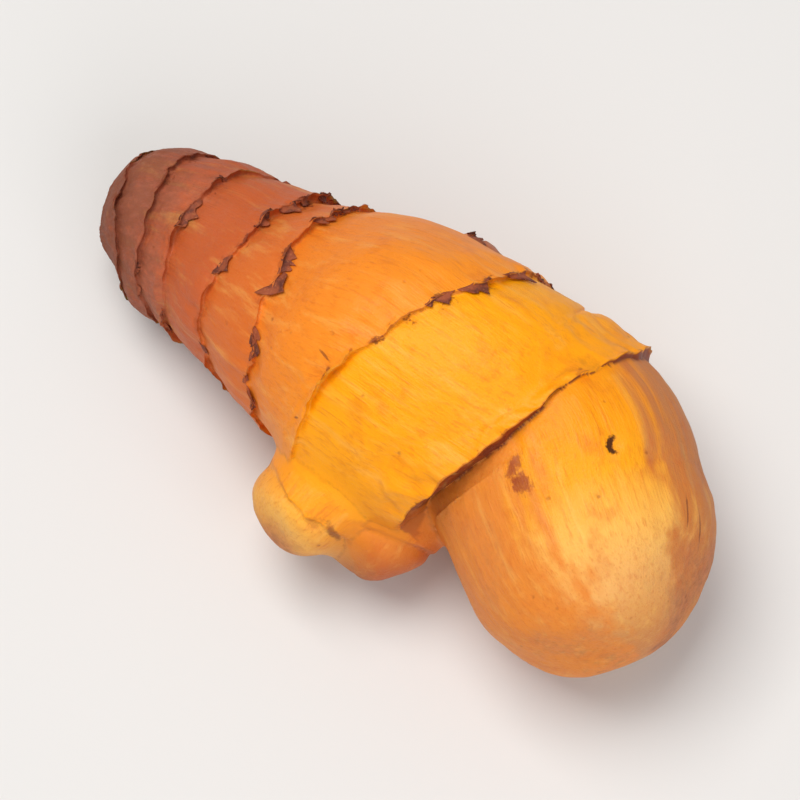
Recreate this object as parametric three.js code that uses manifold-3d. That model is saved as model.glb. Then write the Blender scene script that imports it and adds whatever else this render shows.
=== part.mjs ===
// Fresh turmeric root: one ringed finger whose young end swells out of its last scale collar, with
// side buds in the axils of its scales. It grew as one piece, so it is one solid.
// Millimetres, +Z up. +X runs along the finger, from its old end to its young end. The origin is on
// the surface that the root lies on, under the middle of its bounding box.

import * as THREE from "three";
import { mergeVertices } from "three/addons/utils/BufferGeometryUtils.js";
import Module from "manifold-3d";

// Driving dimensions

// A spine is a row of points on a limb's axis, each with the limb's radius there: [x, y, z, radius].
// A cap is the length over which each end of a limb rounds off.
// A ring is a scale scar: its distance along the spine, the height of its lip, and how far it leans
// along the limb at the top and at the right-hand side.
// An end is given where a limb stops short of its spine's end and leans as a ring does.
const FINGER = {
  spine: [
    [-25.5, 0.1, 4.8, 4.6],
    [-22.5, 1.5, 5.4, 5.6],
    [-17.9, 2.3, 6.4, 6.3],
    [-12.6, 2.0, 7.6, 7.0],
    [-7.1, 1.7, 8.8, 8.5],
    [-1.5, 2.1, 9.8, 10.4],
    [4.5, 1.8, 10.3, 10.6],
    [9.3, 1.9, 10.2, 9.5],
    [12.6, 2.5, 10.1, 9.1],
    [16.2, 2.8, 10.0, 8.4],
  ],
  caps: [5.2, 0.5],
  rings: [
    { at: 3.4, lip: 0.25, lean: [-0.5, 0.2] },
    { at: 7.0, lip: 0.3, lean: [-1.2, 0.1] },
    { at: 11.0, lip: 0.4, lean: [-1.8, -0.2] },
    { at: 15.2, lip: 0.45, lean: [-0.9, -0.2] },
    { at: 19.0, lip: 0.4, lean: [-0.7, 0.6] },
    { at: 28.2, lip: 0.45, lean: [-0.4, -3.8] },
    { at: 37.0, lip: 0.8, lean: [0.5, -4.0] },
  ],
  end: { at: 37.6, lean: [0.5, -4.0] },
  sides: 44,
};

const YOUNG_END = {
  spine: [
    [5.4, 5.0, 10.4, 5.4],
    [9.2, 3.6, 10.3, 8.6],
    [12.8, 2.5, 10.1, 9.5],
    [16.1, 0.2, 9.7, 9.2],
    [19.9, -2.3, 9.3, 8.9],
    [25.4, -5.0, 8.9, 7.8],
  ],
  caps: [3.0, 8.2],
  rings: [],
  sides: 36,
};

const SIDE_BUD = {
  spine: [
    [1.6, -2.0, 9.0, 4.4],
    [0.7, -7.2, 8.0, 4.5],
    [-0.1, -10.3, 7.1, 4.0],
    [-0.6, -12.7, 6.4, 3.0],
  ],
  caps: [1.5, 3.4],
  rings: [{ at: 7.4, lip: 0.2, lean: [0.4, 0.3] }],
  sides: 20,
};

const LOW_BUD = {
  spine: [
    [4.4, -1.5, 8.4, 4.8],
    [4.7, -6.6, 6.2, 4.4],
    [5.0, -10.9, 4.6, 3.2],
  ],
  caps: [1.5, 3.8],
  rings: [{ at: 6.2, lip: 0.2, lean: [0.2, 0.3] }],
  sides: 20,
};

const DORMANT_BUD = {
  spine: [
    [-2.8, 7.0, 9.6, 2.8],
    [-0.8, 10.8, 9.1, 2.7],
    [1.6, 12.7, 8.7, 1.6],
  ],
  caps: [1.0, 2.6],
  rings: [{ at: 4.9, lip: 0.2, lean: [0.3, 0.4] }],
  sides: 16,
};

// The skin between two rings: the longest step between its rows of points, how it swells half-way,
// how long the lip rises before a ring, and how soon it drops behind it.
const ROW_STEP = 1.7;
const INTERNODE_SWELL = 0.18;
const LIP_RISE = 0.7;
const LIP_DROP = 0.35;
const CAP_STEPS = 7;
const CAP_SQUARENESS = 2.15;
const LEAST_STEP = 0.06;

// The unevenness of a grown limb: bumps round it, which wind about it by a twist for each millimetre.
// The sizes are shares of the radius, a share of a lip, and a wandering of the rings along the limb.
const OVAL = { size: 0.024, lobes: 2, twist: 0.03 };
const LUMP = { size: 0.022, lobes: 3, twist: 0.25 };
const LIP_CHANGE = { size: 0.4, lobes: 2, twist: 1.7 };
const RING_WANDER = { size: 0.22, lobes: 3, twist: 0.9 };
const WANDER_START = 1.0;

const SURFACE_BLOCK = 120;
const WELD = 1e-4;
const UP = new THREE.Vector3(0, 0, 1);

const skin = new THREE.MeshStandardMaterial({ color: 0xdd8a35, roughness: 0.5, flatShading: true });

const wasm = await Module();
wasm.setup();

// Share of the full radius at a distance from a rounded end.
function capShare(distance, cap) {
  const inward = 1 - THREE.MathUtils.clamp(distance / cap, 0, 1);
  return (1 - inward ** CAP_SQUARENESS) ** (1 / CAP_SQUARENESS);
}

// Distances from a rounded end at which the skin has a row of points, closer together towards the end.
function capRows(cap) {
  const angles = Array.from({ length: CAP_STEPS }, (_, k) => (Math.PI / 2) * ((k + 1) / (CAP_STEPS + 1)));
  return angles.map((angle) => cap * (1 - Math.cos(angle)));
}

// The rows of points along a limb's skin: each one's distance, its part of a lip and of a swelling,
// and how far it leans with the rings before and behind it.
function skinRows(end, caps, rings) {
  const scars = [{ at: 0, lip: 0, lean: [0, 0] }, ...rings, { ...end, lip: 0 }];
  const rounding = [...capRows(caps[0]), ...capRows(caps[1]).map((distance) => end.at - distance)];
  return scars.slice(1).flatMap((scar, i) => {
    const before = scars[i];
    const start = i === 0 ? 0 : before.at + LIP_DROP;
    const span = scar.at - start;
    const steps = Math.ceil(span / ROW_STEP);
    const even = Array.from({ length: steps + 1 }, (_, k) => start + (span * k) / steps);
    const extra = [...rounding, scar.at - LIP_RISE].filter(
      (d) => d > start && d < scar.at && even.every((e) => Math.abs(d - e) > LEAST_STEP),
    );
    return [...even, ...extra].sort((a, b) => a - b).map((distance) => {
      const share = (distance - start) / span;
      const lean = [0, 1].map((k) => THREE.MathUtils.lerp(before.lean[k], scar.lean[k], share));
      const swell = INTERNODE_SWELL * Math.sin(Math.PI * share);
      return { distance, lip: scar.lip * share ** 2, swell, lean };
    });
  });
}

function bumps({ size, lobes, twist }, turn, distance) {
  return size * Math.cos(lobes * turn + twist * distance);
}

// A limb is a skin turned about a straight axis, then bent along its spine.
function limb({ spine, caps, rings, end, sides }) {
  const axis = new THREE.CatmullRomCurve3(spine.map(([x, y, z]) => new THREE.Vector3(x, y, z)));
  const girth = new THREE.SplineCurve(spine.map(([, , , radius]) => new THREE.Vector2(radius, 0)));
  const length = axis.getLength();
  const stop = end ?? { at: length, lean: [0, 0] };
  const rows = skinRows(stop, caps, rings);
  const radii = rows.map(({ distance }) => girth.getPoint(axis.getUtoTmapping(distance / length)).x);
  const rounded = rows.map(({ distance: d }) => capShare(d, caps[0]) * capShare(stop.at - d, caps[1]));
  const profile = rows.map(({ distance }, j) => new THREE.Vector2(rounded[j], distance));
  const turned = new THREE.LatheGeometry(profile, sides);
  const points = turned.attributes.position;
  for (let i = 0; i < points.count; i++) {
    const j = i % rows.length;
    const { distance, lip, swell, lean } = rows[j];
    const turn = Math.atan2(points.getX(i), points.getZ(i));
    const free = Math.min(distance, stop.at - distance, WANDER_START) / WANDER_START;
    const wander = free * bumps(RING_WANDER, turn, distance);
    const along = distance + lean[0] * Math.cos(turn) + lean[1] * Math.sin(turn) + wander;
    const u = THREE.MathUtils.clamp(along / length, 0, 1);
    const tangent = axis.getTangentAt(u);
    const up = UP.clone().addScaledVector(tangent, -UP.dot(tangent)).normalize();
    const side = tangent.clone().cross(up);
    const body = radii[j] * (1 + bumps(OVAL, turn, distance) + bumps(LUMP, turn, distance));
    const ragged = lip * (1 + bumps(LIP_CHANGE, turn, distance));
    const radius = (body + swell + ragged) * rounded[j];
    const at = axis.getPointAt(u)
      .addScaledVector(up, radius * Math.cos(turn))
      .addScaledVector(side, radius * Math.sin(turn));
    points.setXYZ(i, at.x, at.y, at.z);
  }
  return turned;
}

function solid(geometry) {
  geometry.deleteAttribute("normal");
  geometry.deleteAttribute("uv");
  const welded = mergeVertices(geometry, WELD);
  return new wasm.Manifold(
    new wasm.Mesh({
      numProp: 3,
      vertProperties: welded.attributes.position.array,
      triVerts: new Uint32Array(welded.index.array),
    }),
  );
}

function geometryOf(body) {
  const { vertProperties, triVerts } = body.getMesh();
  return new THREE.BufferGeometry()
    .setAttribute("position", new THREE.BufferAttribute(vertProperties, 3))
    .setIndex(new THREE.BufferAttribute(triVerts, 1));
}

// The limbs grow together, and the surface that the root lies on presses its low spots flat.
const surface = new THREE.BoxGeometry(SURFACE_BLOCK, SURFACE_BLOCK, SURFACE_BLOCK);
surface.translate(0, 0, -SURFACE_BLOCK / 2);
const root = [FINGER, YOUNG_END, SIDE_BUD, LOW_BUD, DORMANT_BUD]
  .map((shape) => solid(limb(shape)))
  .reduce((grown, next) => grown.add(next))
  .subtract(solid(surface));

const rhizome = new THREE.Mesh(geometryOf(root), skin);
rhizome.name = "rhizome";

const turmeric = new THREE.Group();
turmeric.add(rhizome);

export default turmeric;
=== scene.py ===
# A fresh turmeric root, lying on a pale table.

import math

import bpy
import numpy as np
from mathutils import Matrix, Vector, kdtree, noise


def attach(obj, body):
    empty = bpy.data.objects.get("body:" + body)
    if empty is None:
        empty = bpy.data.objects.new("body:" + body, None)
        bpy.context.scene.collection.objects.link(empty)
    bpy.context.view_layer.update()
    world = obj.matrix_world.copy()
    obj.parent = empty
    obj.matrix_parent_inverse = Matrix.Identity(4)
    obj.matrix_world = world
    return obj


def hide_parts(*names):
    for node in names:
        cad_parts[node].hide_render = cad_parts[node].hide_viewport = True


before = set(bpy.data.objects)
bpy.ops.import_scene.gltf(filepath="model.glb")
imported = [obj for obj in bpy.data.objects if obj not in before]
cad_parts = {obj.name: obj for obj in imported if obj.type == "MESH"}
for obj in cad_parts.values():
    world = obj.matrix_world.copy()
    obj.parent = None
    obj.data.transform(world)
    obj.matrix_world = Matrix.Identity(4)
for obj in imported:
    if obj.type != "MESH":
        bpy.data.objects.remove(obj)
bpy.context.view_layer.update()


# Rhizome
# The underground stem of the plant: firm flesh in a thin skin, washed, with its roots rubbed off. It grew
# joint by joint, and every joint left a ring where its scale leaf rotted away. The young end pushes out of
# the last collar, and buds sit in the axils of the scales. All of it is one piece.

MM = 0.001
UP = np.array([0.0, 0.0, 1.0])


def colour(red, green, blue):
    """A colour as it looks on a screen, from 0 to 255, as the shader's own."""
    parts = [c / 255 for c in (red, green, blue)]
    return (*[c / 12.92 if c <= 0.04045 else ((c + 0.055) / 1.055) ** 2.4 for c in parts], 1.0)


# The solid's own limbs, in millimetres. A spine's stations are x, y, z and the radius there, a cap is the
# length over which an end rounds off, and a ring is a scale scar: its distance along the spine, the height
# of its lip, and how far it leans along the limb at the top and at the right-hand side. An end is given
# where a limb stops short of its spine's end and leans as a ring does. The tones are the skin's colours,
# from ring to ring, with painted shade in the finger's last joint and at the low bud's tip. A flank is a
# side of a limb with a tone of its own: right or left as 1 or -1, how far out from the middle it starts,
# and its tone. Worn says how weathered the skin is at the old end, at the young end, on the left and on
# the right. A pit is a hole: its distance along the limb, its turn about it from the top, its depth and
# its width. Gathered is where the skin puckers, if that isn't at the rings.
FINGER = {
    "spine": [
        (-25.5, 0.1, 4.8, 4.6),
        (-22.5, 1.5, 5.4, 5.6),
        (-17.9, 2.3, 6.4, 6.3),
        (-12.6, 2.0, 7.6, 7.0),
        (-7.1, 1.7, 8.8, 8.5),
        (-1.5, 2.1, 9.8, 10.4),
        (4.5, 1.8, 10.3, 10.6),
        (9.3, 1.9, 10.2, 9.5),
        (12.6, 2.5, 10.1, 9.1),
        (16.2, 2.8, 10.0, 8.4),
    ],
    "caps": (5.2, 0.5),
    "rings": [
        {"at": 3.4, "lip": 0.25, "lean": (-0.5, 0.2)},
        {"at": 7.0, "lip": 0.3, "lean": (-1.2, 0.1)},
        {"at": 11.0, "lip": 0.4, "lean": (-1.8, -0.2)},
        {"at": 15.2, "lip": 0.45, "lean": (-0.9, -0.2)},
        {"at": 19.0, "lip": 0.4, "lean": (-0.7, 0.6)},
        {"at": 28.2, "lip": 0.45, "lean": (-0.4, -3.8)},
        {"at": 37.0, "lip": 0.8, "lean": (0.5, -4.0)},
    ],
    "end": {"at": 37.6, "lean": (0.5, -4.0)},
    "sides": 270,
    "tones": [
        [colour(134, 70, 54), colour(158, 86, 66)],
        [colour(160, 88, 68), colour(168, 88, 62)],
        [colour(174, 88, 58), colour(184, 90, 52)],
        [colour(190, 92, 48), colour(197, 93, 43)],
        [colour(212, 106, 42), colour(219, 111, 37)],
        [colour(237, 129, 35), colour(248, 147, 27)],
        [colour(255, 166, 2), colour(254, 160, 4)],
        # The last joint is the wall under the collar: dark brown scale remains with painted shade of the
        # collar over them.
        [colour(128, 58, 24), colour(128, 58, 24)],
    ],
    "worn": (1.0, 0.0, 0.0, 0.0),
}
YOUNG_END = {
    "spine": [
        (5.4, 5.0, 10.4, 5.4),
        (9.2, 3.6, 10.3, 8.6),
        (12.8, 2.5, 10.1, 9.5),
        (16.1, 0.2, 9.7, 9.2),
        (19.9, -2.3, 9.3, 8.9),
        (25.4, -5.0, 8.9, 7.8),
    ],
    "caps": (3.0, 8.2),
    "rings": [],
    "sides": 240,
    "tones": [
        [
            colour(236, 138, 6),
            colour(240, 142, 4),
            colour(248, 154, 2),
            colour(250, 165, 14),
            colour(247, 182, 82),
            colour(240, 176, 96),
            colour(208, 130, 64),
        ],
    ],
    "flanks": [(1, 0.15, colour(230, 136, 48)), (-1, 0.35, colour(206, 124, 56))],
    "worn": (0.0, 0.25, 0.35, 0.2),
    "gathered": 8.5,
    "pits": [(9.6, -0.28, 0.35, 0.45)],
}
SIDE_BUD = {
    "spine": [
        (1.6, -2.0, 9.0, 4.4),
        (0.7, -7.2, 8.0, 4.5),
        (-0.1, -10.3, 7.1, 4.0),
        (-0.6, -12.7, 6.4, 3.0),
    ],
    "caps": (1.5, 3.4),
    "rings": [{"at": 7.4, "lip": 0.2, "lean": (0.4, 0.3)}],
    "sides": 100,
    "tones": [
        [colour(250, 160, 12), colour(248, 158, 22)],
        [colour(246, 170, 54), colour(244, 180, 82), colour(212, 130, 60)],
    ],
    "worn": (0.0, 0.5, 0.0, 0.0),
}
LOW_BUD = {
    "spine": [
        (4.4, -1.5, 8.4, 4.8),
        (4.7, -6.6, 6.2, 4.4),
        (5.0, -10.9, 4.6, 3.2),
    ],
    "caps": (1.5, 3.8),
    "rings": [{"at": 6.2, "lip": 0.2, "lean": (0.2, 0.3)}],
    "sides": 100,
    "tones": [
        [colour(240, 138, 24), colour(220, 118, 36)],
        # The far joint darkens towards the tip, low under the root: painted shade of the hollow there.
        [colour(202, 104, 44), colour(168, 84, 48)],
    ],
    "worn": (0.0, 0.6, 0.0, 0.0),
}
DORMANT_BUD = {
    "spine": [
        (-2.8, 7.0, 9.6, 2.8),
        (-0.8, 10.8, 9.1, 2.7),
        (1.6, 12.7, 8.7, 1.6),
    ],
    "caps": (1.0, 2.6),
    "rings": [{"at": 4.9, "lip": 0.2, "lean": (0.3, 0.4)}],
    "sides": 80,
    "tones": [
        [colour(240, 134, 36), colour(222, 120, 44)],
        [colour(192, 104, 54), colour(142, 80, 52)],
    ],
    "worn": (0.0, 0.8, 0.0, 0.0),
}

# The solid's own unevenness: bumps round a limb, as size, number round it, and twist for each millimetre.
OVAL = (0.024, 2, 0.03)
LUMP = (0.022, 3, 0.25)
LIP_CHANGE = (0.4, 2, 1.7)
RING_WANDER = (0.22, 3, 0.9)
WANDER_START = 1.0
INTERNODE_SWELL = 0.18
LIP_DROP = 0.35
CAP_SQUARENESS = 2.15
SPINE_STEPS = 60

# The relief that the skin has besides: the heights of its features, then their widths, in millimetres.
# Tear levels give each ring and limb its own place in the noise that tears it, and the straightened limbs
# lie apart for the same reason.
ROW_STEP = 0.27
CAP_ROWS = 16
EDGE_ROWS = (-0.9, -0.6, -0.4, -0.25, -0.14, -0.06, 0.0, 0.05, 0.11, 0.17, 0.26, 0.38, 0.55, 0.75)
EDGE_FALL = 0.14
TUCK = (0.3, 0.17, 0.3)
EDGE = (0.1, 0.3)
GROOVE = (0.16, 0.26)
TEAR = (0.34, 1.1)
TEAR_LOBES = 3.4
TEAR_LEVELS = {"ring": 7.3, "limb": 2.1}
EDGE_WEAR = {"mean": 0.6, "change": 1.2, "width": 2.4, "most": 1.6}
DENTS = (0.13, 4.5)
WRINKLES = (0.055, 0.8)
FINE_WRINKLES = (0.03, 0.42)
WRINKLE_LENGTH = 6.0
PUCKERS = (0.06, 0.5)
PUCKER_REACH = 1.8
SHRIVEL = (0.2, 1.7)
SHRIVEL_LENGTH = 9.0
SNAPPED = (0.5, 1.0)
SNAPPED_DEPTH = 2.2
ROOT_SCARS = {
    "for_each_mm": 0.375,
    "stretch": (0.15, 0.9),
    "spread": 0.9,
    "height": 0.2,
    "width": 0.55,
    "change": (0.7, 1.3),
    "pit": 0.24,
    "seed": 11,
}
APART = 100.0

# A flank's edge: how far it fades, how far it wanders, and the width and length of its bays.
FLANK_FADE = 0.4
FLANK_WANDER = 0.3
FLANK_BAYS = 1.2
FLANK_BAY_LENGTH = 5.0

# Where weathering fades: how soon from the old end, then start and reach, to the young end and to a side.
OLD_FADE = 1.8
YOUNG_FADE = (0.7, 0.3)
SIDE_FADE = (0.3, 0.6)


def smooth_noise(points, size, octaves=2):
    """Noise about zero, with features of that size, at each point."""
    return np.array([noise.fractal(p, 0.8, 2.0, octaves) for p in (points / size).tolist()])


def eased(share):
    share = np.clip(share, 0, 1)
    return share * share * (3 - 2 * share)


def bumps(shape, turn, distance):
    size, lobes, twist = shape
    return size * np.cos(lobes * turn + twist * distance)


def unit(vectors):
    return vectors / np.linalg.norm(vectors, axis=-1, keepdims=True)


class Limb:
    """A tapering limb along a bent spine, ringed by the scars of its scale leaves."""

    def __init__(
        self, number, spine, caps, rings, sides, tones, worn, end=None, gathered=None, flanks=(), pits=()
    ):
        self.number = number
        self.caps = caps
        self.rings = rings
        self.sides = sides
        self.tones = tones
        self.worn = worn
        self.flanks = flanks
        self.pits = pits
        self.gathers = [ring["at"] for ring in rings] if gathered is None else [gathered]
        stations = np.array(spine)
        first = 2 * stations[:1] - stations[1:2]
        last = 2 * stations[-1:] - stations[-2:-1]
        points = np.vstack([first, stations, last])
        gaps = np.sqrt(np.linalg.norm(np.diff(points[:, :3], axis=0), axis=1))
        share = np.linspace(0, 1, SPINE_STEPS, endpoint=False)[:, None]
        stretches = []
        for i in range(len(stations) - 1):
            before, start, stop, after = points[i:i + 4]
            g, h, k = gaps[i:i + 3]
            leave = h * ((start - before) / g - (stop - before) / (g + h) + (stop - start) / h)
            arrive = h * ((stop - start) / h - (after - start) / (h + k) + (after - stop) / k)
            bend = 3 * (stop - start) - 2 * leave - arrive
            twist = 2 * (start - stop) + leave + arrive
            stretches.append(start + leave * share + bend * share**2 + twist * share**3)
        self.path = np.vstack([*stretches, stations[-1:]])
        steps = np.linalg.norm(np.diff(self.path[:, :3], axis=0), axis=1)
        self.at = np.concatenate([[0.0], np.cumsum(steps)])
        self.heading = np.gradient(self.path[:, :3], self.at, axis=0)
        end = end or {"at": self.at[-1], "lean": (0.0, 0.0)}
        self.length = end["at"]
        self.scars = [{"at": 0.0, "lip": 0.0, "lean": (0.0, 0.0)}, *rings, {"lip": 0.0, **end}]

    def follow(self, values, distance):
        return np.stack([np.interp(distance, self.at, column) for column in values.T], axis=-1)

    def place(self, along, turn, radius):
        """Points of the skin, at a distance along the spine and a turn about it from the top."""
        ahead = unit(self.follow(self.heading, along))
        up = unit(UP - ahead * ahead[:, 2:])
        side = np.cross(ahead, up)
        out = up * np.cos(turn)[:, None] + side * np.sin(turn)[:, None]
        return self.follow(self.path[:, :3], along) + out * radius[:, None]

    def rows(self):
        """Distances of the skin's rows of points, close together at the ends and at the rings."""
        ends = 1 - np.cos(np.linspace(0, math.pi / 2, CAP_ROWS))
        fixed = [ends * self.caps[0], self.length - ends * self.caps[1]]
        fixed += [ring["at"] + np.array(EDGE_ROWS) for ring in self.rings]
        fixed = np.unique(np.clip(np.concatenate(fixed), 0, self.length))
        even = np.arange(0, self.length, ROW_STEP)
        apart = np.abs(even[:, None] - fixed).min(axis=1) > ROW_STEP / 3
        return np.unique(np.concatenate([even[apart], fixed]))

    def joints(self, distance):
        """The joint that each distance is in, the share of the way through it, its start and its scars."""
        number = np.clip(np.searchsorted([scar["at"] for scar in self.scars], distance) - 1, 0, None)
        before = [self.scars[n] for n in number]
        behind = [self.scars[n + 1] for n in number]
        start = np.array([scar["at"] for scar in before])
        stop = np.array([scar["at"] for scar in behind])
        drop = np.where(number > 0, LIP_DROP, 0.0)
        share = np.clip((distance - start - drop) / (stop - start - drop), 0, 1)
        return number, share, start, before, behind

    def rounded(self, distance):
        from_ends = (distance, self.length - distance)
        inward = [1 - np.clip(d / cap, 0, 1) for d, cap in zip(from_ends, self.caps)]
        return np.prod([(1 - i**CAP_SQUARENESS) ** (1 / CAP_SQUARENESS) for i in inward], axis=0)

    def from_ring(self, distance):
        """Signed distance from the nearest ring."""
        away = np.array([distance - ring["at"] for ring in self.rings] or [distance + self.length])
        return np.take_along_axis(away, np.abs(away).argmin(axis=0)[None], axis=0)[0]

    def skin(self, distance, turn):
        """Where the skin lies: along the spine, out from it, and on the straightened limb."""
        _, share, start, before, behind = self.joints(distance)
        lean_before = np.array([scar["lean"] for scar in before]).T
        lean_behind = np.array([scar["lean"] for scar in behind]).T
        lean = lean_before * (1 - share) + lean_behind * share
        free = np.minimum(np.minimum(distance, self.length - distance) / WANDER_START, 1)
        along = distance + lean[0] * np.cos(turn) + lean[1] * np.sin(turn)
        along = along + free * bumps(RING_WANDER, turn, distance)
        body = self.follow(self.path[:, 3:], distance)[:, 0]
        body = body * (1 + bumps(OVAL, turn, distance) + bumps(LUMP, turn, distance))
        rounded = self.rounded(distance)
        lifted = body * rounded
        straight = [distance + APART * self.number, lifted * np.sin(turn), lifted * np.cos(turn)]
        straight = np.stack(straight, axis=1)

        round_it = np.stack([np.cos(turn), np.sin(turn), np.zeros_like(turn)], axis=1) * TEAR_LOBES
        torn = np.zeros_like(turn)
        for k, ring in enumerate(self.rings):
            level = TEAR_LEVELS["ring"] * k + TEAR_LEVELS["limb"] * self.number
            rag = smooth_noise(round_it + (0, 0, level), 1.0, 4)
            torn += TEAR[0] * rag * np.exp(-((distance - ring["at"]) / TEAR[1]) ** 2)
        off = self.from_ring(distance)
        worn = EDGE_WEAR["mean"] + EDGE_WEAR["change"] * smooth_noise(straight, EDGE_WEAR["width"], 3)
        worn = np.clip(worn, 0.0, EDGE_WEAR["most"])
        pitted = SNAPPED[0] * np.abs(smooth_noise(straight, SNAPPED[1], 3))
        pitted = pitted * eased(1 - distance / SNAPPED_DEPTH)
        tucked = TUCK[0] * worn * np.where(off > 0, np.exp(-(((off - TUCK[1]) / TUCK[2]) ** 2)), 0)
        along = along + (torn - tucked) * free + pitted
        rise = np.array([s["lip"] for s in behind]) * share**2
        fall = np.array([s["lip"] for s in before]) * np.clip(1 - (distance - start) / EDGE_FALL, 0, 1)
        lip = (rise + fall) * (1 + bumps(LIP_CHANGE, turn, distance)) * (0.5 + 0.5 * worn)
        edge = EDGE[0] * np.where(off <= 0, np.exp(off / EDGE[1]), np.clip(1 - off / EDGE_FALL, 0, 1))
        groove = GROOVE[0] * np.where(off > 0, np.exp(-((off / GROOVE[1] - 1) ** 2)), 0)

        near = np.max([np.exp(-np.abs(distance - at) / PUCKER_REACH) for at in self.gathers], axis=0)
        dents = DENTS[0] * smooth_noise(straight, DENTS[1], 3)
        wrinkles = WRINKLES[0] * smooth_noise(straight * (1 / WRINKLE_LENGTH, 1, 1), WRINKLES[1], 3)
        fine = FINE_WRINKLES[0] * smooth_noise(straight * (1 / WRINKLE_LENGTH, 1, 1), FINE_WRINKLES[1], 2)
        puckers = PUCKERS[0] * near * smooth_noise(straight * (1, 0.4, 0.4), PUCKERS[1], 2)
        shrivel = smooth_noise(straight * (1 / SHRIVEL_LENGTH, 1, 1), SHRIVEL[1], 2)
        shrivel = SHRIVEL[0] * self.weathering(distance, turn) * shrivel
        relief = (edge - groove) * worn + dents + wrinkles * (0.5 + near) + fine + puckers + shrivel
        relief = relief + self.scars_and_pits(distance, turn, body)
        radius = (body + INTERNODE_SWELL * np.sin(math.pi * share) + lip + relief) * rounded
        return along, radius, straight

    def scars_and_pits(self, distance, turn, body):
        """Small craters where roots came off, mostly on the underside, and single pits."""

        def hill(at, about, width):
            apart = (turn - about + math.pi) % (2 * math.pi) - math.pi
            return np.exp(-((np.hypot(distance - at, apart * body) / width) ** 2))

        draw = np.random.default_rng(ROOT_SCARS["seed"] + self.number)
        height = np.zeros_like(distance)
        for _ in range(round(ROOT_SCARS["for_each_mm"] * self.length)):
            at = draw.uniform(*ROOT_SCARS["stretch"]) * self.length
            about = math.pi + draw.normal(0, ROOT_SCARS["spread"])
            width = ROOT_SCARS["width"] * draw.uniform(*ROOT_SCARS["change"])
            height += ROOT_SCARS["height"] * (hill(at, about, width) - hill(at, about, ROOT_SCARS["pit"]))
        for at, about, depth, width in self.pits:
            height -= depth * hill(at, about, width)
        return height

    def tone(self, distance, turn, straight):
        """The skin's colour at each point, by its joint and its flank, with the painted shade that some
        joints' tones hold.
        """
        number, share, *_ = self.joints(distance)
        tones = np.zeros((len(distance), 4))
        for n, steps in enumerate(self.tones):
            here = number == n
            spread = np.linspace(0, 1, len(steps))
            tones[here] = np.stack([np.interp(share[here], spread, part) for part in zip(*steps)], axis=-1)
        wander = FLANK_WANDER * smooth_noise(straight * (1 / FLANK_BAY_LENGTH, 1, 1), FLANK_BAYS, 4)
        for side, start, flank in self.flanks:
            out = eased((side * np.sin(turn) + wander - start) / FLANK_FADE)[:, None]
            tones = tones * (1 - out) + np.array(flank) * out
        return tones

    def weathering(self, distance, turn):
        """How weathered the skin is, from nought to one."""
        old, young, left, right = self.worn
        share = distance / self.length
        ends = old * (1 - eased(share * OLD_FADE)) + young * eased((share - YOUNG_FADE[0]) / YOUNG_FADE[1])
        to_left = eased((-np.sin(turn) - SIDE_FADE[0]) / SIDE_FADE[1])
        to_right = eased((np.sin(turn) - SIDE_FADE[0]) / SIDE_FADE[1])
        return np.minimum(ends + left * to_left + right * to_right, 1)


def drawn_out(name, limb):
    """A ball whose rows and sides are drawn out along the limb's spine."""
    rows = limb.rows()
    bpy.ops.object.select_all(action="DESELECT")
    bpy.ops.mesh.primitive_uv_sphere_add(segments=limb.sides, ring_count=len(rows) - 1, radius=1)
    piece = bpy.context.object
    piece.name = name
    ball = np.empty(len(piece.data.vertices) * 3)
    piece.data.vertices.foreach_get("co", ball)
    x, y, z = ball.reshape(-1, 3).T
    row = np.rint(np.arctan2(np.hypot(x, y), z) / math.pi * (len(rows) - 1)).astype(int)
    distance = rows[row]
    turn = -np.arctan2(y, x)
    along, radius, straight = limb.skin(distance, turn)
    points = limb.place(along, turn, radius) * MM
    piece.data.vertices.foreach_set("co", points.ravel())
    piece.data.update()
    off = limb.from_ring(distance)
    return piece, {
        "points": points,
        "straight": straight,
        "gap": np.where(off > 0, off, -2 * off),
        "tone": limb.tone(distance, turn, straight),
        "weathered": limb.weathering(distance, turn),
    }


def apply(piece, kind, **settings):
    """Adds a modifier to a piece and applies it."""
    bpy.ops.object.select_all(action="DESELECT")
    piece.select_set(True)
    bpy.context.view_layer.objects.active = piece
    bpy.ops.object.modifier_add(type=kind)
    modifier = piece.modifiers[-1]
    for setting, value in settings.items():
        setattr(modifier, setting, value)
    bpy.ops.object.modifier_apply(modifier=modifier.name)


def store(piece, name, values):
    """Stores a value, vector or colour for each point of a piece, for its material."""
    kind, field = {1: ("FLOAT", "value"), 3: ("FLOAT_VECTOR", "vector"), 4: ("FLOAT_COLOR", "color")}[
        1 if values.ndim == 1 else values.shape[1]
    ]
    attribute = piece.data.attributes.new(name, kind, "POINT")
    attribute.data.foreach_set(field, values.astype(np.float32).ravel())


limbs = [Limb(n, **shape) for n, shape in enumerate([FINGER, YOUNG_END, SIDE_BUD, LOW_BUD, DORMANT_BUD])]
finger, young_end, side_bud, low_bud, dormant_bud = limbs
grown = [drawn_out(f"limb_{limb.number}", limb) for limb in limbs]
skins = [skin for _, skin in grown]
rhizome = grown[0][0]
rhizome.name = "rhizome_skin"
for limb_piece, _ in grown[1:]:
    apply(rhizome, "BOOLEAN", operation="UNION", solver="MANIFOLD", object=limb_piece)
    bpy.data.objects.remove(limb_piece)

# The joins leave slivers, and flaps of two faces on the same three points. Both are cleared away.
SLIVER = 0.003

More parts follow.
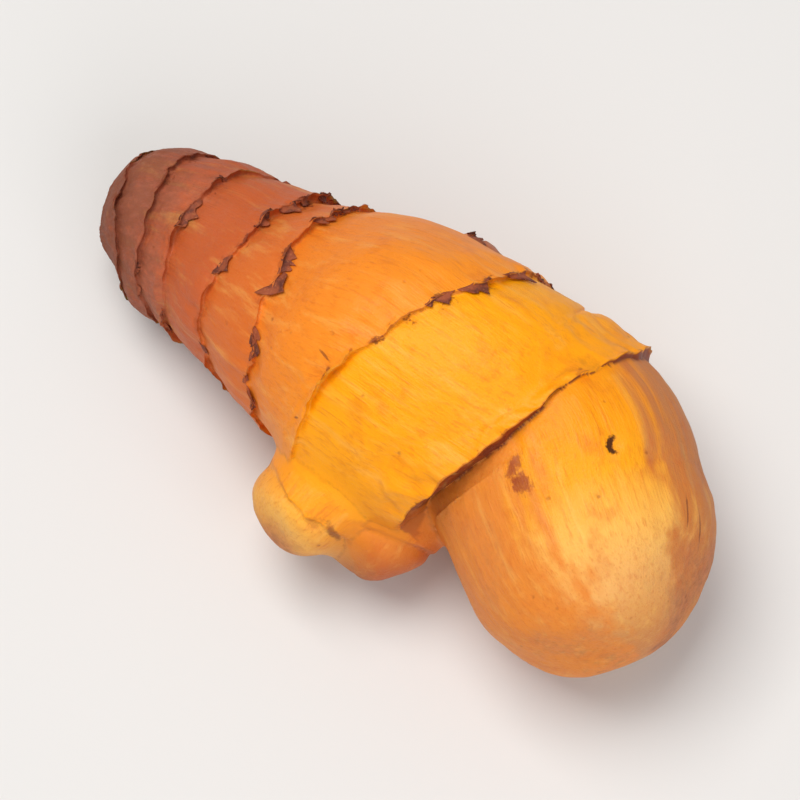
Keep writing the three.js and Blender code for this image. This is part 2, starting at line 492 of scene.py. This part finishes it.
apply(rhizome, "TRIANGULATE")
bpy.ops.object.mode_set(mode="EDIT")
bpy.ops.mesh.select_all(action="SELECT")
bpy.ops.mesh.remove_doubles(threshold=SLIVER * MM)
bpy.ops.mesh.dissolve_degenerate(threshold=SLIVER * MM)
bpy.ops.mesh.select_all(action="DESELECT")
bpy.ops.object.mode_set(mode="OBJECT")
by_points = {}
for face in rhizome.data.polygons:
    by_points.setdefault(frozenset(face.vertices), []).append(face)
for faces in by_points.values():
    for face in faces:
        face.select = len(faces) > 1
bpy.ops.object.mode_set(mode="EDIT")
bpy.ops.mesh.delete(type="ONLY_FACE")
bpy.ops.mesh.select_all(action="SELECT")
bpy.ops.mesh.delete_loose()
bpy.ops.object.mode_set(mode="OBJECT")

# Each point takes its values from the limb that it came from. Where a swelling bud meets another limb, its
# foot is eased into the body and the colours run into each other. The other creases stay sharp. Every
# crease between limbs gets a painted shade, weaker at the buds, and at the collar it fades between two
# distances across the root, towards its far side.
EASE_REACH = 2.4
EASE_STEPS = 120
RUN_REACH = 3.0
EASED_BUDS = (side_bud.number, low_bud.number)
BUD_CREASE = 0.3
COLLAR_CREASE = 0.35
COLLAR_CLOSES = (0.0, 5.0)

nearest = []
places = [vertex.co.copy() for vertex in rhizome.data.vertices]
for skin in skins:
    tree = kdtree.KDTree(len(skin["points"]))
    for n, point in enumerate(skin["points"].tolist()):
        tree.insert(point, n)
    tree.balance()
    nearest.append([tree.find(place)[1:] for place in places])
nearest = np.array(nearest)
away = nearest[:, :, 1] / MM
order = away.argsort(axis=0)
each = np.arange(len(places))
meet = away[order[1], each]
at_bud = np.isin(order[:2], EASED_BUDS).any(axis=0)


def taken(name, rank):
    """A value of each point, from its nearest limb or the next nearest."""
    found = nearest[order[rank], each, 0].astype(int)
    return np.array([skins[limb][name][n] for limb, n in zip(order[rank], found)])


run = np.where(at_bud, 0.5 * np.clip(1 - meet / RUN_REACH, 0, 1), 0)
tone = taken("tone", 0) * (1 - run)[:, None] + taken("tone", 1) * run[:, None]
weathered = taken("weathered", 0) * (1 - run) + taken("weathered", 1) * run
ease = np.where(at_bud, np.clip(1 - meet / EASE_REACH, 0, 1), 0)
feet = rhizome.vertex_groups.new(name="feet")
for n in np.flatnonzero(ease).tolist():
    feet.add([n], float(ease[n]), "REPLACE")
apply(rhizome, "SMOOTH", factor=0.5, iterations=EASE_STEPS, vertex_group="feet")

settled = np.empty(len(rhizome.data.vertices) * 3)
rhizome.data.vertices.foreach_get("co", settled)
settled[2::3] = np.maximum(settled[2::3], 0)
rhizome.data.vertices.foreach_set("co", settled)
store(rhizome, "tone", tone)
store(rhizome, "weathered", weathered)
store(rhizome, "straight", taken("straight", 0))
store(rhizome, "gap", taken("gap", 0))
store(rhizome, "meet", np.minimum(meet, RUN_REACH))
at_collar = (order[:2] == young_end.number).any(axis=0) & (meet < RUN_REACH)
across = np.array([place.y for place in places]) / MM
closing = eased((across - COLLAR_CLOSES[0]) / (COLLAR_CLOSES[1] - COLLAR_CLOSES[0]))
closed = 1 - (1 - COLLAR_CREASE) * closing
# How strongly the ring lines, the torn scars and the painted crease shade show at each point.
store(rhizome, "creased", np.where(at_bud, BUD_CREASE, np.where(at_collar, closed, 1.0)))
bpy.ops.object.shade_smooth()


class Shade:
    """A socket of a material's nodes. Arithmetic on it adds Math nodes."""

    def __init__(self, tree, socket=None):
        self.tree = tree
        self.socket = socket

    def node(self, kind, settings, sockets, output=0):
        """Adds a node: first its settings, then the values or links of its sockets."""
        made = self.tree.nodes.new(kind)
        for name, value in settings.items():
            if name == "stops":
                stops = made.color_ramp.elements
                while len(stops) < len(value):
                    stops.new(1.0)
                for stop, (position, colour) in zip(stops, value):
                    stop.position = position
                    stop.color = colour
            else:
                setattr(made, name, value)
        for name, value in sockets.items():
            if isinstance(value, Shade):
                self.tree.links.new(value.socket, made.inputs[name])
            else:
                made.inputs[name].default_value = value
        return Shade(self.tree, made.outputs[output])

    def maths(self, operation, first, second):
        return self.node("ShaderNodeMath", {"operation": operation}, {0: first, 1: second})

    def __add__(self, other):
        return self.maths("ADD", self, other)

    def __sub__(self, other):
        return self.maths("SUBTRACT", self, other)

    def __rsub__(self, other):
        return self.maths("SUBTRACT", other, self)

    def __mul__(self, other):
        return self.maths("MULTIPLY", self, other)

    __radd__ = __add__
    __rmul__ = __mul__

    def between(self, low, high):
        """Nought below low, one above high, and smooth between."""
        limits = {"Value": self, "From Min": low, "From Max": high}
        return self.node("ShaderNodeMapRange", {"interpolation_type": "SMOOTHSTEP"}, limits)

    def stretched(self, scale):
        return self.node("ShaderNodeVectorMath", {"operation": "MULTIPLY"}, {0: self, 1: scale})

    def grain(self, size, detail=3.0, roughness=0.55):
        """Noise from nought to one over these coordinates, with features of that size."""
        sockets = {"Vector": self, "Scale": 1 / size, "Detail": detail, "Roughness": roughness}
        return self.node("ShaderNodeTexNoise", {}, sockets)

    def mixed(self, first, second, blend="MIX"):
        """Two colours, mixed by this value."""
        settings = {"data_type": "RGBA", "blend_type": blend}
        return self.node("ShaderNodeMix", settings, {0: self, 6: first, 7: second}, output=2)


def new_material(name):
    material = bpy.data.materials.new(name)
    material.use_nodes = True
    return material, material.node_tree.nodes["Principled BSDF"]


RING_BROWN = colour(164, 68, 28)
# The scars' dark brown, also used for the painted shade in the creases between limbs.
SCAR_AND_CREASE_SHADE_BROWN = colour(112, 46, 24)
CORK_BROWN = colour(130, 70, 46)
DUSTY_PINK = colour(196, 128, 104)
PALE_STREAK = colour(255, 206, 110)
DEEP_STREAK = colour(204, 92, 22)
PORE_BROWN = colour(150, 72, 24)

# Marks on the skin: the limb, the distance along it, the turn about it from the top, the slant of the mark
# on the skin, and its half length and half width. The crack is a crescent, so it has a heart left bare.
CRACK = (young_end, 9.6, -0.27, 0.1, 0.72, 0.5)
CRACK_HEART = (young_end, 9.65, -0.306, 0.1, 0.56, 0.36)
CRACK_BROWN = colour(58, 22, 8)
STAINS = [
    (young_end, 8.9, 0.47, 0.35, 1.5, 0.7),
    (young_end, 10.2, 0.43, -0.4, 0.9, 0.8),
]
STAIN_BROWN = colour(148, 56, 30)
HAIRLINES = [
    (finger, 26.2, 0.5, 0.3, 0.9, 0.12),
    (finger, 27.6, 0.57, 0.25, 0.5, 0.2),
    (finger, 26.9, 1.0, -0.2, 0.5, 0.14),
    (side_bud, 7.45, -0.85, -1.29, 1.4, 0.22),
    (young_end, 15.5, -0.75, 0.2, 1.6, 0.1),
    (young_end, 17.0, -0.9, -0.1, 2.0, 0.12),
]

skin_material, principled = new_material("turmeric_skin")
shade = Shade(skin_material.node_tree)


def stored(name, output):
    return shade.node("ShaderNodeAttribute", {"attribute_name": name}, {}, output)


tone = stored("tone", 0)
straight = stored("straight", 1)
gap = stored("gap", 2)
meet = stored("meet", 2)
creased = stored("creased", 2)
old = stored("weathered", 2)
here = shade.node("ShaderNodeTexCoord", {}, {}, output=3).stretched((1 / MM,) * 3)
patches = here.grain(4.0, 4.0)
spots = here.grain(2.6, 4.0, 0.65)
flecks = here.grain(0.5, 4.0, 0.7)
pores = here.grain(0.2, 2.0, 0.6)
clear_of_joins = meet.between(0.1, 1.0)
streaks = straight.stretched((0.12, 1.0, 1.0)).grain(0.9, 4.0, 0.6) * clear_of_joins
fine_streaks = straight.stretched((0.2, 1.0, 1.0)).grain(0.3, 3.0) * clear_of_joins
fibres = straight.stretched((0.07, 1.0, 1.0)).grain(0.14, 3.0, 0.6) * clear_of_joins
dots = shade.node("ShaderNodeTexVoronoi", {}, {"Vector": here, "Scale": 1 / 1.7})
dots = (1 - (dots + (flecks - 0.5) * 0.16).between(0.03, 0.13)) * spots.between(0.42, 0.58)

tone = (streaks.between(0.5, 0.75) * 0.24).mixed(tone, PALE_STREAK)
tone = (fine_streaks.between(0.52, 0.72) * 0.25).mixed(tone, DEEP_STREAK)
tone = (fibres.between(0.54, 0.7) * 0.28).mixed(tone, DEEP_STREAK)
tone = (spots.between(0.5, 0.72) * 0.3).mixed(tone, DEEP_STREAK)
tone = (patches.between(0.4, 0.65) * old * 0.45).mixed(tone, DUSTY_PINK)
cork = (patches * 0.6 + flecks * 0.4 + streaks * 0.3 + old * 0.35).between(0.72, 1.05) * (old * 0.8 + 0.1)
tone = cork.mixed(tone, CORK_BROWN)
tone = (dots * 0.5).mixed(tone, PORE_BROWN)

thin = 1 - (gap + (flecks - 0.5) * 0.4 - old * 0.12).between(0.05, 0.22)
ragged = 1 - (gap + (flecks - 0.5) * 1.8).between(0.25, 0.6)
torn = ragged * (spots + old * 0.05).between(0.54, 0.6) * creased
# Painted shade along the creases where limbs meet, as a dark line.
crease_shade = (1 - (meet + (flecks - 0.5) * 0.3).between(0.02, 0.32)) * creased
tone = (thin * creased * (0.55 + old * 0.35)).mixed(tone, old.mixed(RING_BROWN, SCAR_AND_CREASE_SHADE_BROWN))
tone = (torn * 0.75).mixed(tone, SCAR_AND_CREASE_SHADE_BROWN)
tone = (crease_shade * 0.75).mixed(tone, SCAR_AND_CREASE_SHADE_BROWN)


def from_mark(limb, distance, turn, slant, half_length, half_width):
    """How far the skin is from the middle of a mark: one at the mark's edge."""
    *_, centre = limb.skin(np.array([distance]), np.array([turn]))
    turned = Matrix.Rotation(-turn, 3, "X") @ Matrix.Rotation(slant, 3, "Z")
    placing = {
        "Vector": straight,
        "Location": tuple(centre[0]),
        "Rotation": tuple(turned.to_euler()),
        "Scale": (half_length, half_width, half_length),
    }
    spread = shade.node("ShaderNodeMapping", {"vector_type": "TEXTURE"}, placing)
    return shade.node("ShaderNodeVectorMath", {"operation": "LENGTH"}, {0: spread}, output=1)


broken = (flecks - 0.5) * 2.0 + (fine_streaks - 0.5) * 1.2
for stain in STAINS:
    stained = 1 - (from_mark(*stain) + broken).between(0.3, 1.1)
    tone = (stained * (0.45 + flecks * 0.7)).mixed(tone, STAIN_BROWN)
for hairline in HAIRLINES:
    lined = 1 - (from_mark(*hairline) + (flecks - 0.5) * 1.2).between(0.4, 1.1)
    tone = (lined * 0.65).mixed(tone, SCAR_AND_CREASE_SHADE_BROWN)
frayed = (flecks - 0.5) * 0.7 + (pores - 0.5) * 0.7
crack = 1 - (from_mark(*CRACK) + frayed).between(0.75, 1.1)
crack = crack * (from_mark(*CRACK_HEART) + frayed).between(0.75, 1.2)
tone = (crack * 0.95).mixed(tone, CRACK_BROWN)

dull = 0.46 + old * 0.16 + cork * 0.12 + torn * 0.2 + crack * 0.3 + (pores - 0.5) * 0.16
height = pores * 0.4 + fine_streaks * 0.5 + fibres * 0.5 + flecks * (0.2 + old * 0.4) + torn * 0.4
height = height - dots * 0.5 - crack * 0.8
surface = shade.node("ShaderNodeBump", {}, {"Strength": 0.6, "Distance": 0.14 * MM, "Height": height})
links = skin_material.node_tree.links
links.new(tone.socket, principled.inputs["Base Color"])
links.new(dull.socket, principled.inputs["Roughness"])
links.new(surface.socket, principled.inputs["Normal"])
principled.inputs["Specular IOR Level"].default_value = 0.25
principled.inputs["Subsurface Weight"].default_value = 0.12
principled.inputs["Subsurface Radius"].default_value = (1.0, 0.45, 0.12)
principled.inputs["Subsurface Scale"].default_value = 1.2 * MM
rhizome.data.materials.clear()
rhizome.data.materials.append(skin_material)
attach(rhizome, "root")
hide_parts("rhizome")


# Scale remnants
# Dry rests of the scale leaves that once wrapped each joint: brown, papery shreds, still fast along the
# rings. Their torn free edges lie over the next joint.

# A flake's width, its length and how far its free edge lifts, each between two values.
LARGE_FLAKE = {"width": (1.6, 2.8), "length": (0.8, 1.3), "lift": (0.1, 0.3)}
SMALL_FLAKE = {"width": (0.6, 1.7), "length": (0.35, 0.8), "lift": (0.05, 0.25)}
FLAKE_GRID = (10, 5)
FLAKE_THICKNESS = 0.05
FLAKE_TEARS = 9
FLAKE_RAGGED = (0.35, 1.1)
FLAKE_TAPER = 0.7
FLAKE_SLANT = 0.15
FLAKE_NARROWS = 0.3
FLAKE_BUMP = 0.08

# Where flakes are held: how far before the ring's edge, how far they are sunk into the skin there, how far
# clear of it they lie beyond, and the least height above the table.
HELD_BEFORE = 0.12
HELD_SUNK = 0.06
LIES_CLEAR = 0.04
LEAST_HEIGHT = 0.3
SHRED_SEED = 23

# Shreds by limb and ring: the turns about the limb of the large ones, and how many small ones lie between.
RING_SHREDS = [
    (finger, 1, [], 4),
    (finger, 2, [0.1], 6),
    (finger, 3, [0.35, -0.5], 8),
    (finger, 4, [0.24, 0.02, 0.77, 1.3, -0.5], 9),
    (finger, 5, [-0.2, -0.43, -0.8], 8),
    (dormant_bud, 0, [-2.2, -1.4, -0.6, 0.3], 6),
]


def shred(limb, root, about, kind, draw):
    """A thin torn flake that lies along a limb, with one edge held at a distance along it."""
    width = draw.uniform(*kind["width"])
    length = draw.uniform(*kind["length"])
    lift = draw.uniform(*kind["lift"])
    bpy.ops.object.select_all(action="DESELECT")
    bpy.ops.mesh.primitive_grid_add(x_subdivisions=FLAKE_GRID[0], y_subdivisions=FLAKE_GRID[1], size=2)
    flake = bpy.context.object
    grid = np.empty(len(flake.data.vertices) * 3)
    flake.data.vertices.foreach_get("co", grid)
    across, ahead, _ = grid.reshape(-1, 3).T
    out = (ahead + 1) / 2
    tears = draw.uniform(*FLAKE_RAGGED, FLAKE_TEARS)
    ragged = np.interp(across, np.linspace(-1, 1, FLAKE_TEARS), tears)
    reach = length * ragged * (1 - FLAKE_TAPER * across**2)
    distance = root + out * reach + across * draw.normal(0, FLAKE_SLANT)
    radius_here = limb.follow(limb.path[:, 3:], np.array([root]))[0, 0]
    narrowed = 1 - FLAKE_NARROWS * out * draw.uniform(0, 1)
    turn = about + across * narrowed * width / 2 / radius_here
    along, radius, _ = limb.skin(distance, turn)
    _, held, _ = limb.skin(np.full_like(distance, root), turn)
    free = eased(out)
    height = np.maximum(held * (1 - free) + (radius + lift) * free, radius + LIES_CLEAR)
    height = height - HELD_SUNK * (1 - out)
    points = limb.place(along, turn, height)
    if points[:, 2].min() < LEAST_HEIGHT:
        bpy.data.objects.remove(flake)
        return []
    flake.data.vertices.foreach_set("co", (points * MM).ravel())
    flake.data.update()
    return [flake]


draw = np.random.default_rng(SHRED_SEED)
shreds = []
for limb, number, large, small in RING_SHREDS:
    root = limb.rings[number]["at"] - HELD_BEFORE
    for about in large:
        shreds += shred(limb, root, about, LARGE_FLAKE, draw)
    for about in draw.uniform(-math.pi, math.pi, small):
        shreds += shred(limb, root, about, SMALL_FLAKE, draw)
bpy.ops.object.select_all(action="DESELECT")
for flake in shreds:
    flake.select_set(True)
scale_remnants = shreds[0]
bpy.context.view_layer.objects.active = scale_remnants
bpy.ops.object.join()
scale_remnants.name = "scale_remnants"
apply(scale_remnants, "SOLIDIFY", thickness=FLAKE_THICKNESS * MM, offset=0)
bpy.ops.object.shade_smooth()

SHRED_DARK = colour(98, 40, 24)
SHRED_BROWN = colour(156, 74, 38)
SHRED_PALE = colour(204, 126, 66)

shred_material, shred_shader = new_material("dry_scale")
dry = Shade(shred_material.node_tree)
on_shred = dry.node("ShaderNodeTexCoord", {}, {}, output=3)
blotches = on_shred.grain(0.9 * MM, 4.0)
fibres = on_shred.grain(0.18 * MM, 3.0)
tone = blotches.between(0.35, 0.6).mixed(SHRED_DARK, SHRED_BROWN)
tone = (fibres.between(0.55, 0.75) * 0.5).mixed(tone, SHRED_PALE)
surface = dry.node("ShaderNodeBump", {}, {"Strength": 0.4, "Distance": FLAKE_BUMP * MM, "Height": fibres})
links = shred_material.node_tree.links
links.new(tone.socket, shred_shader.inputs["Base Color"])
links.new(surface.socket, shred_shader.inputs["Normal"])
shred_shader.inputs["Roughness"].default_value = 0.72
scale_remnants.data.materials.clear()
scale_remnants.data.materials.append(shred_material)
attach(scale_remnants, "root")


# Table and light
# A plain pale table under the root, a soft light high above it, a little to the left, and a weaker one on
# the viewer's side.

VIEW_AZIMUTH = math.radians(36)
VIEW_ELEVATION = math.radians(70)
VIEW_CENTRE = Vector((1.1, 0.0, 10.0)) * MM
VIEW_WIDTH = 56 * MM
VIEW_DISTANCE = 300 * MM
SENSOR = 36.0
TABLE_SIZE = 3.0
TABLE_PALE = colour(222, 221, 220)
ROOM_STRENGTH = 0.34

bpy.ops.object.select_all(action="DESELECT")
bpy.ops.mesh.primitive_plane_add(size=TABLE_SIZE, location=(0, 0, 0))
table = bpy.context.object
table.name = "table"
table_material, table_shader = new_material("pale_table")
table_shader.inputs["Base Color"].default_value = TABLE_PALE
table_shader.inputs["Roughness"].default_value = 0.7
table.data.materials.append(table_material)

RIGHT = Vector((math.cos(VIEW_AZIMUTH), math.sin(VIEW_AZIMUTH), 0))
AWAY = Vector((-math.sin(VIEW_AZIMUTH), math.cos(VIEW_AZIMUTH), 0))

# Each light's place, size, power and tint.
LIGHTS = {
    "key": (RIGHT * -0.1 + AWAY * 0.06 + Vector((0, 0, 0.42)), 0.26, 1.42, (1.0, 0.97, 0.93)),
    "fill": (RIGHT * 0.16 - AWAY * 0.34 + Vector((0, 0, 0.28)), 0.4, 0.9, (0.95, 0.97, 1.0)),
}
for light_name, (place, size, power, tint) in LIGHTS.items():
    bpy.ops.object.light_add(type="AREA", location=place)
    light = bpy.context.object
    light.name = light_name
    light.data.size = size
    light.data.energy = power
    light.data.color = tint
    light.rotation_euler = (VIEW_CENTRE - place).to_track_quat("-Z", "Y").to_euler()

world = bpy.data.worlds.new("soft_room")
bpy.context.scene.world = world
world.use_nodes = True
background = world.node_tree.nodes["Background"]
background.inputs["Color"].default_value = (1, 1, 1, 1)
background.inputs["Strength"].default_value = ROOM_STRENGTH
bpy.context.scene.view_settings.view_transform = "Standard"

look = Vector((0, 0, math.sin(VIEW_ELEVATION))) - AWAY * math.cos(VIEW_ELEVATION)
bpy.ops.object.camera_add(location=VIEW_CENTRE + look * VIEW_DISTANCE)
camera = bpy.context.object
camera.rotation_euler = (-look).to_track_quat("-Z", "Y").to_euler()
camera.data.sensor_width = SENSOR
camera.data.lens = SENSOR * VIEW_DISTANCE / VIEW_WIDTH
camera.data.clip_start = 10 * MM
bpy.context.scene.camera = camera
